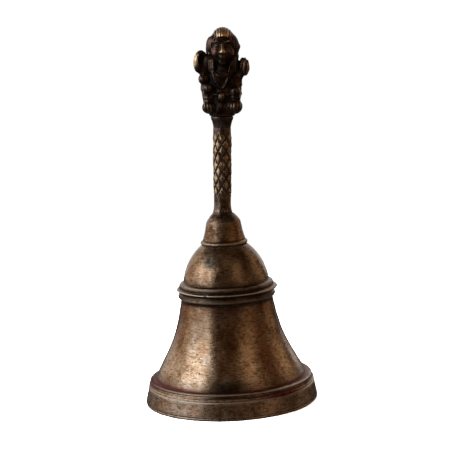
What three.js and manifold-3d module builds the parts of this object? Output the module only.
// Brass hand bell for worship (puja bell). A turned bell carries a turned collar and a cast handle,
// which ends in a kneeling winged figure. An eye bolt holds them together through the crown, and the
// clapper hangs from its eye on a loose ring.
// Millimetres, +Z up. Origin: centre of the mouth, on the plane that the rim stands on. Front is -Y.
import * as THREE from "three";
import { mergeVertices } from "three/addons/utils/BufferGeometryUtils.js";
import Module from "manifold-3d";

const wasm = await Module();
wasm.setup();

// ---- Driving dimensions -------------------------------------------------------------------------

const gap = 0.3; // between pieces that touch

const mouthRadius = 45;
const rimHeight = 13; // the band round the mouth, up to the foot of the waist
const beadHeight = 59.5; // widest edge of the moulding between waist and dome
const beadRadius = 25.9;
const seatHeight = 82.2; // flat seat on the crown, where the collar stands
const seatRadius = 11.8;
const wall = 2.8;
const crownThickness = 3.4;

const collarHeight = 15.8;
const handleLean = THREE.MathUtils.degToRad(2.5); // the handle stands a little askew, to +X
const shaftFootRadius = 4.9;
const shaftFootDip = shaftFootRadius * Math.sin(handleLean); // the foot's low side, from the lean
const shaftFoot = seatHeight + gap + collarHeight + gap + shaftFootDip;
const shaftLength = 49.3; // foot to the top of the flared capital
const shaftRadius = 4.6;

const boltRadius = 2.4;
const boltReach = 11; // of the bolt's thread inside the shaft
const eyeRadius = 3.6; // centreline radius of the bolt's eye
const eyeWire = 1.3;
const eyeHeight = 67.6;
const ringRadius = 4.4;
const ringWire = 1.1;
const clapperEyeRadius = 3.4;
const clapperEyeWire = 1.2;
const clapperRodRadius = 1.6;
const bobRadius = 9;
const bobHeight = 15.2;
const clapperFoot = 4.4; // lowest point of the clapper, above the mouth

// Heights that follow: each link rests on the one above it, a gap away.
const ringTop = eyeHeight - eyeRadius + eyeWire + ringWire + gap;
const ringHeight = ringTop - ringRadius;
const clapperEyeTop = ringHeight - ringRadius + ringWire + clapperEyeWire + gap;
const clapperEyeHeight = clapperEyeTop - clapperEyeRadius;
const crownInside = seatHeight - crownThickness;
const washerThickness = 1.2;
const nutThickness = 4;

// ---- Materials ----------------------------------------------------------------------------------

const metal = (colour, roughness) =>
  new THREE.MeshStandardMaterial({ color: colour, metalness: 1, roughness });

const turnedBrass = metal(0x7a5a3a, 0.38);
const castBrass = metal(0x4a3626, 0.5);
const plainBrass = metal(0x8a6c42, 0.42);
const iron = metal(0x3d3733, 0.6);

// ---- Shapes -------------------------------------------------------------------------------------

const at = (radius, height) => new THREE.Vector2(radius, height);

// A smooth stretch of profile through a cubic or a quadratic curve's control points.
function bend(steps, ...points) {
  const Curve = points.length === 4 ? THREE.CubicBezierCurve : THREE.QuadraticBezierCurve;
  return new Curve(...points).getPoints(steps);
}

// A round stretch of profile, from one angle to another, in degrees above the horizontal.
function arc(steps, centre, radius, from, to) {
  const angles = [from, to].map(THREE.MathUtils.degToRad);
  const curve = new THREE.EllipseCurve(centre.x, centre.y, radius, radius, ...angles, to < from);
  return curve.getPoints(steps);
}

// Turns a profile of radius and height round Z. The profile closes on itself.
function turn(profile, segments) {
  const closed = [...profile, profile[0].clone()];
  return new THREE.LatheGeometry(closed, segments).rotateX(Math.PI / 2);
}

// The same for a profile that starts and ends on the axis.
function turnSolid(profile, segments) {
  return new THREE.LatheGeometry(profile, segments).rotateX(Math.PI / 2);
}

function rod(radius, bottom, top, sides) {
  return turnSolid([at(0, bottom), at(radius, bottom), at(radius, top), at(0, top)], sides);
}

// A loop of round wire. Its hole runs along Y, or along X when it is turned.
function loop(radius, wire, height, sides, turned) {
  const torus = new THREE.TorusGeometry(radius, wire, 8, sides).rotateX(Math.PI / 2);
  if (turned) torus.rotateZ(Math.PI / 2);
  return torus.translate(0, 0, height);
}

// ---- Joining and cutting ------------------------------------------------------------------------

function solid(geometry) {
  const bare = new THREE.BufferGeometry();
  bare.setAttribute("position", geometry.getAttribute("position"));
  bare.setIndex(geometry.getIndex());
  const merged = mergeVertices(bare, 1e-3);
  return new wasm.Manifold(
    new wasm.Mesh({
      numProp: 3,
      vertProperties: merged.attributes.position.array,
      triVerts: new Uint32Array(merged.index.array),
    }),
  );
}

function geometryOf(manifold) {
  const mesh = manifold.getMesh();
  const geometry = new THREE.BufferGeometry();
  geometry.setAttribute("position", new THREE.BufferAttribute(mesh.vertProperties, 3));
  geometry.setIndex(new THREE.BufferAttribute(mesh.triVerts, 1));
  geometry.computeVertexNormals();
  return geometry;
}

const join = (...geometries) =>
  geometryOf(geometries.map(solid).reduce((whole, part) => whole.add(part)));

const cut = (geometry, cutter) => geometryOf(solid(geometry).subtract(solid(cutter)));

function piece(name, geometry, material) {
  const mesh = new THREE.Mesh(geometry, material);
  mesh.name = name;
  return mesh;
}

// ---- The bell -----------------------------------------------------------------------------------

const domeCentre = at(-6.2, 59.8); // off the axis, so that the dome is a little pointed
const domeRadius = 28.6;
const boltHole = boltRadius + gap;

// Band round the mouth: flared foot, V groove, lower ridge, cove, upper ridge and top face.
function rimProfile() {
  const band = mouthRadius - 1.2;
  return [
    at(mouthRadius - 0.5, 0),
    at(mouthRadius, 0.7),
    ...bend(3, at(mouthRadius, 1.4), at(band + 0.1, 3.6), at(band, 8.3)),
    at(band - 0.7, 8.8),
    ...bend(2, at(band, 9.2), at(band + 0.2, 9.6), at(band - 0.1, 10.1)),
    ...bend(2, at(band - 0.6, 10.4), at(band - 1, 11), at(band - 0.9, 11.5)),
    ...bend(2, at(band - 0.7, 11.8), at(band - 0.5, 12.4), at(band - 1.3, rimHeight)),
    at(40.4, rimHeight + 0.3),
    at(39.6, rimHeight + 0.3),
  ];
}

// The waist sweeps in from the rim to the moulding under the dome.
function waistProfile() {
  return bend(8, at(39.1, 14.2), at(31.5, 29.3), at(27.85, 32.2), at(23.9, 53.4));
}

// Moulding: lower bead, cove, sharp edge, cove, upper bead and step.
function mouldingProfile() {
  return [
    ...bend(3, at(24.1, 54.2), at(25.2, 55.4), at(24.5, 56.7)),
    at(24.4, 57.4),
    ...bend(2, at(24.9, 58.4), at(25.7, 58.9), at(beadRadius, beadHeight)),
    ...bend(3, at(beadRadius - 0.4, beadHeight + 0.6), at(24.4, 60.8), at(24.2, 62.2)),
    ...bend(3, at(24, 63), at(23.7, 64), at(22.2, 64.2)),
  ];
}

function domeProfile() {
  return arc(7, domeCentre, domeRadius, 10, 51);
}

function insideProfile() {
  return [
    at(boltHole, seatHeight),
    at(boltHole, crownInside),
    ...arc(5, domeCentre, domeRadius - wall, 47.4, 11),
    ...bend(6, at(20.9, 53.4), at(25.05, 32.2), at(28.6, 28.6), at(35.4, 14.2)),
    ...bend(3, at(36.2, 12.4), at(38, 9), at(40.2, 1)),
    at(40.8, 0),
  ];
}

function bellShell() {
  const profile = [
    ...rimProfile(),
    ...waistProfile(),
    ...mouldingProfile(),
    ...domeProfile(),
    at(seatRadius - 0.4, seatHeight),
    ...insideProfile(),
  ];
  return piece("bell_shell", turn(profile, 40), turnedBrass);
}

// ---- The handle ---------------------------------------------------------------------------------

// Small turned bell shape between the crown and the shaft, drilled for the bolt.
function handleCollar() {
  const foot = seatHeight + gap;
  const top = foot + collarHeight;
  const profile = [
    at(boltHole, foot),
    at(seatRadius, foot),
    ...bend(3, at(12.1, foot + 0.4), at(12.2, foot + 1.1), at(11.2, foot + 1.7)),
    ...bend(5, at(10.7, foot + 2.6), at(9.6, foot + 5.6), at(8.9, foot + 10.6)),
    ...bend(5, at(8.6, foot + 11.7), at(7.8, foot + 13.4), at(5.2, top - 0.2)),
    at(shaftFootRadius, top),
    at(boltHole, top),
  ];
  return piece("handle_collar", turn(profile, 24), turnedBrass);
}

// Round shaft with a spread foot and a flared capital. The bolt's hole is drilled square to the
// bell, so it runs at the lean's angle to the shaft.
function handleShaft() {
  const profile = [
    at(0, 0),
    at(shaftFootRadius, 0),
    ...bend(3, at(shaftFootRadius - 0.1, 0.5), at(4.35, 1.4), at(4.25, 3.2)),
    at(4.3, 8),
    at(shaftRadius, 26),
    at(shaftRadius - 0.05, shaftLength - 6),
    ...bend(4, at(shaftRadius + 0.1, shaftLength - 4.6), at(5.4, shaftLength - 2.4), at(6.3, shaftLength)),
    at(0, shaftLength),
  ];
  const hole = rod(boltHole, -2, boltReach + 1.5, 16).rotateY(-handleLean);
  return piece("handle_shaft", cut(turnSolid(profile, 20), hole), castBrass);
}

// One rounded mass of the figure: an ellipsoid, tipped by an angle about Y.
function mass(x, y, z, width, depth, height, tip = 0) {
  return new THREE.SphereGeometry(1, 10, 7)
    .rotateX(Math.PI / 2)
    .scale(width / 2, depth / 2, height / 2)
    .rotateY(THREE.MathUtils.degToRad(tip))
    .translate(x, y, z);
}

// Both sides of something that the figure has twice.
const pair = (x, y, z, width, depth, height, tip = 0) => [
  mass(-x, y, z, width, depth, height, -tip),
  mass(x, y, z, width, depth, height, tip),
];

// Kneeling winged figure, in its own frame: its seat is at z = 0.
function handleFigure() {
  const seat = turnSolid(
    [at(0, 0), at(5.9, 0), ...bend(4, at(7.6, 1.6), at(8.6, 4), at(7, 7.5)), at(0, 8)],
    20,
  );
  const body = [
    mass(0.2, 1.4, 8, 16, 12, 12), // hips
    mass(0.2, 0.8, 17, 14.6, 10.8, 20), // chest
    mass(0.2, 0.8, 22.6, 18.6, 9.4, 8.6), // shoulders
    mass(0.3, -0.2, 26.6, 9, 8.6, 7), // neck
  ];
  const limbs = [
    ...pair(7.2, -3, 9.4, 6.4, 7.4, 14.4), // shins
    ...pair(6.9, -3.6, 14.2, 6.6, 7.4, 7), // knees
    ...pair(8.7, -0.6, 19.2, 5.8, 6.6, 11), // upper arms
    ...pair(7, -5.6, 14.6, 5, 4.6, 5.6), // hands
    mass(-6.5, -4.8, 4.8, 7.2, 7.4, 6.2), // left foot
    mass(6.6, -4.8, 5.4, 8, 7.6, 7.4), // right foot
    mass(-0.2, -5.6, 9.6, 4.6, 4, 7.2), // end of the sash
  ];
  const head = [
    mass(0.4, 0.6, 35.5, 17.3, 15.2, 19.2), // hair
    mass(0.3, -3.2, 33, 12.8, 11.6, 15.4), // face
    mass(8.7, 0.4, 35, 2.6, 3.4, 4), // left ear
    mass(-7.9, 0.4, 35.4, 2.6, 3.4, 4), // right ear
  ];
  const wings = [
    mass(-10.9, 2.6, 27.4, 7.6, 5, 12.4, -8),
    mass(11.3, 2.6, 24.8, 7.2, 5, 11.4, 12),
    ...pair(4.4, 4.6, 19.4, 9, 5, 17), // folded down the back
  ];
  return piece("handle_figure", join(seat, ...body, ...limbs, ...head, ...wings), castBrass);
}

// The leaning part of the handle.
function handle() {
  const group = new THREE.Group();
  const shaft = handleShaft();
  const figure = handleFigure();
  figure.position.z = shaftLength + gap;
  group.add(shaft, figure);
  group.position.z = shaftFoot;
  group.rotation.y = handleLean;
  return group;
}

// ---- Fixing inside the crown --------------------------------------------------------------------

// Bolt with an eye at its foot, put in from inside the bell and screwed up into the shaft.
function eyeBolt() {
  const shank = rod(boltRadius, eyeHeight + eyeRadius, shaftFoot + boltReach, 16);
  const eye = loop(eyeRadius, eyeWire, eyeHeight, 20, false);
  return piece("eye_bolt", join(shank, eye), iron);
}

function crownWasher() {
  const top = crownInside - gap;
  const bottom = top - washerThickness;
  const outer = 7.5;
  const profile = [at(boltHole, bottom), at(outer, bottom), at(outer, top), at(boltHole, top)];
  return piece("crown_washer", turn(profile, 24), plainBrass);
}

function crownNut() {
  const top = crownInside - washerThickness - 2 * gap;
  const hexagon = new THREE.CylinderGeometry(5, 5, nutThickness, 6).rotateX(Math.PI / 2);
  hexagon.translate(0, 0, top - nutThickness / 2);
  const hole = rod(boltHole, top - nutThickness - 1, top + 1, 16);
  return piece("crown_nut", cut(hexagon, hole), plainBrass);
}

function hangerRing() {
  return piece("hanger_ring", loop(ringRadius, ringWire, ringHeight, 20, true), iron);
}

// ---- The clapper --------------------------------------------------------------------------------

// Iron rod with a closed eye at its top and a peened head under the bob.
function clapperRod() {
  const headRadius = 2.8;
  const eyeBottom = clapperEyeHeight - clapperEyeRadius;
  const shank = turnSolid(
    [
      at(0, clapperFoot),
      ...bend(3, at(1.4, clapperFoot), at(headRadius, clapperFoot + 0.3), at(headRadius, clapperFoot + 1.4)),
      at(clapperRodRadius, clapperFoot + 1.5),
      at(clapperRodRadius, eyeBottom),
      at(0, eyeBottom),
    ],
    16,
  );
  const eye = loop(clapperEyeRadius, clapperEyeWire, clapperEyeHeight, 20, false);
  return piece("clapper_rod", join(shank, eye), iron);
}

// Pear-shaped striker, bored for the rod.
function clapperBob() {
  const bore = clapperRodRadius + gap;
  const neck = bobHeight + bobRadius + 4;
  const profile = [
    ...arc(10, at(0, bobHeight), bobRadius, -77, 52),
    ...bend(4, at(3.9, bobHeight + 8.6), at(3, bobHeight + 10), at(2.9, neck)),
    at(bore, neck),
    at(bore, bobHeight - bobRadius + 0.2),
  ];
  return piece("clapper_bob", turn(profile, 24), plainBrass);
}

// ---- Assembly -----------------------------------------------------------------------------------

const bell = new THREE.Group();
bell.add(
  bellShell(),
  handleCollar(),
  handle(),
  eyeBolt(),
  crownWasher(),
  crownNut(),
  hangerRing(),
  clapperRod(),
  clapperBob(),
);

export default bell;
